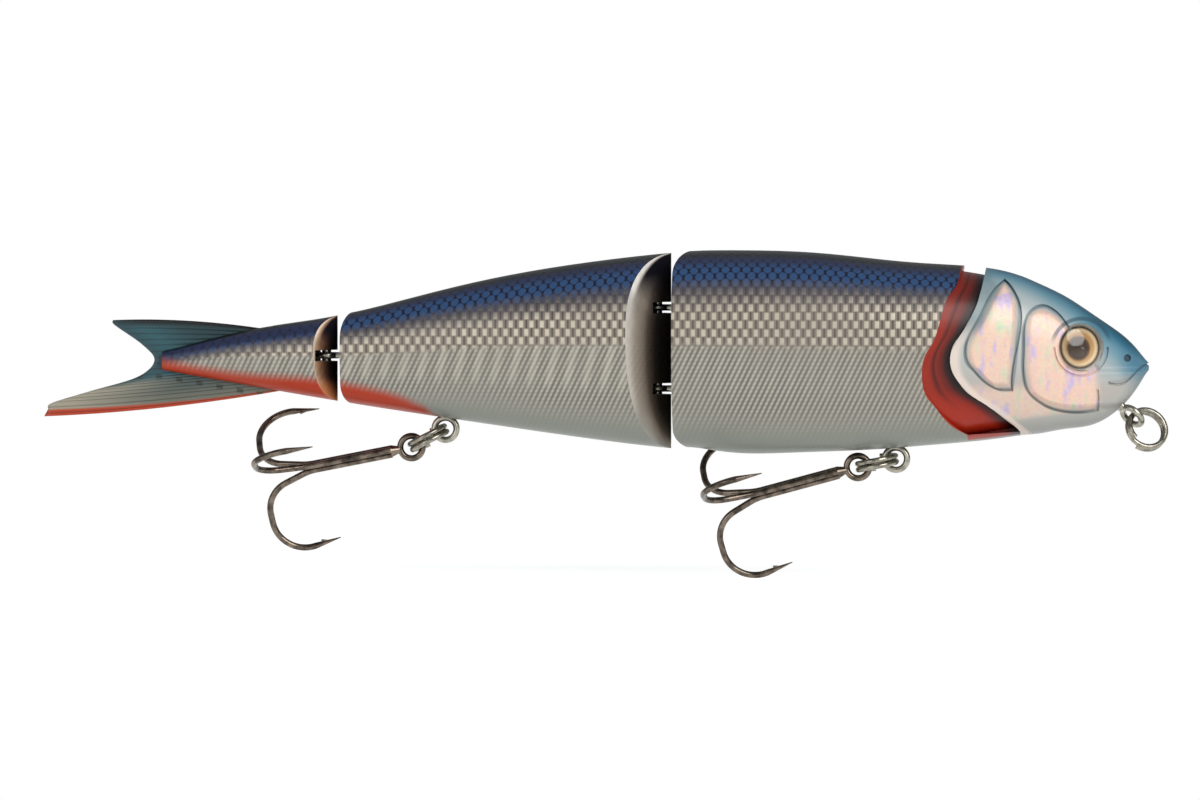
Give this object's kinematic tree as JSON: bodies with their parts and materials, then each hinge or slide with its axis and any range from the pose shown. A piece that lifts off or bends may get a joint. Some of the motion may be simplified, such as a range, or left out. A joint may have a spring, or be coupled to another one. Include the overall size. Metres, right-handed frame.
{
  "type": "jointed swimbait lure",
  "caption": "Jointed fish-shaped swimbait lure with hinged hollow bodies, a soft tail fin, a line ring and treble hooks on split rings.",
  "frame": {"origin": "tow point: the centre of the line ring at the chin", "axes": "+X to the head, +Z to the back, the halves of each body meet at Y = 0"},
  "size_m": [0.194, 0.0261, 0.0564],
  "materials": {
    "shell": "painted and clear-coated ABS",
    "iris_foil": "satin foil",
    "lens": "clear moulded acrylic",
    "eye_wire": "drawn stainless wire",
    "ring_wire": "nickel-plated spring wire",
    "hook_wire": "black nickel",
    "ballast": "plain",
    "fin": "soft translucent plastic"
  },
  "bodies": {
    "front": {"front_shell_left": "shell", "front_shell_right": "shell", "iris_left": "iris_foil", "iris_right": "iris_foil", "eye_lens_left": "lens", "eye_lens_right": "lens", "line_tie": "eye_wire", "front_hanger": "eye_wire", "front_ballast": "ballast", "hinge_eye_upper": "eye_wire", "hinge_eye_lower": "eye_wire"},
    "middle": {"middle_shell_left": "shell", "middle_shell_right": "shell", "main_hinge_pin": "eye_wire", "rear_hanger": "eye_wire", "middle_ballast": "ballast", "tail_hinge_eye": "eye_wire"},
    "tail": {"tail_shell_left": "shell", "tail_shell_right": "shell", "tail_hinge_pin": "eye_wire", "tail_fin": "fin"},
    "line_ring": {"line_ring": "ring_wire"},
    "front_ring": {"front_ring": "ring_wire"},
    "front_treble": {"front_treble": "hook_wire"},
    "rear_ring": {"rear_ring": "ring_wire"},
    "rear_treble": {"rear_treble": "hook_wire"}
  },
  "joints": [
    {"name": "main_hinge", "type": "hinge", "parent": "front", "child": "middle", "pos_m": [-0.0838, 0, 0.0131], "axis": [0, 0, 1], "range_deg": [-35, 35]},
    {"name": "tail_hinge", "type": "hinge", "parent": "middle", "child": "tail", "pos_m": [-0.1408, 0, 0.0123], "axis": [0, 0, 1], "range_deg": [-40, 40]},
    {"name": "line_ring_swing", "type": "hinge", "parent": "front", "child": "line_ring", "pos_m": [-0.00255, 0, 0.00214], "axis": [0.5329, 0.5592, 0.6351], "range_deg": [-70, 70]},
    {"name": "front_ring_swing", "type": "hinge", "parent": "front", "child": "front_ring", "pos_m": [-0.0429, 0, -0.00526], "axis": [0, -1, 0], "range_deg": [0, 80]},
    {"name": "front_treble_swing", "type": "hinge", "parent": "front_ring", "child": "front_treble", "pos_m": [-0.04942, 0, -0.00668], "axis": [0, -1, 0], "range_deg": [0, 60]},
    {"name": "rear_ring_swing", "type": "hinge", "parent": "middle", "child": "rear_ring", "pos_m": [-0.1203, 0, -0.0003], "axis": [0, -1, 0], "range_deg": [0, 80]},
    {"name": "rear_treble_swing", "type": "hinge", "parent": "rear_ring", "child": "rear_treble", "pos_m": [-0.12617, 0, -0.00346], "axis": [0, -1, 0], "range_deg": [0, 60]}
  ]
}
